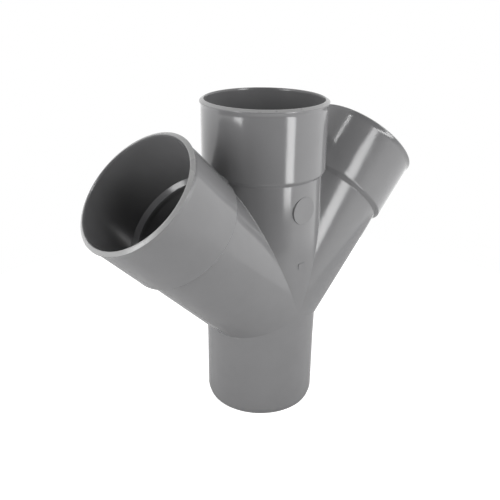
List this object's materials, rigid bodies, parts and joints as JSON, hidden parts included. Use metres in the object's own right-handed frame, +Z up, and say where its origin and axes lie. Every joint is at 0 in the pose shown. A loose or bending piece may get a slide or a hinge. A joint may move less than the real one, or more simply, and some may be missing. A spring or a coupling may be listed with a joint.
{
  "type": "double wye drainage fitting",
  "caption": "Rigid plastic drainage fitting: a plain spigot below, a socket in line with it above, and opposite slanted branches with sockets, all joined at one crossing.",
  "frame": {"origin": "centre of the spigot's end, on the run's axis, where the fitting stands", "axes": "+Z up the run towards the in-line socket, +X towards one branch, so both branches lie in the XZ plane, and -Y is the side with the round boss"},
  "size_m": [0.3346, 0.1094, 0.282],
  "materials": {
    "body": "injection-moulded rigid PVC, semi-gloss, as moulded"
  },
  "bodies": {
    "root": {"double_wye": "body"}
  },
  "joints": []
}
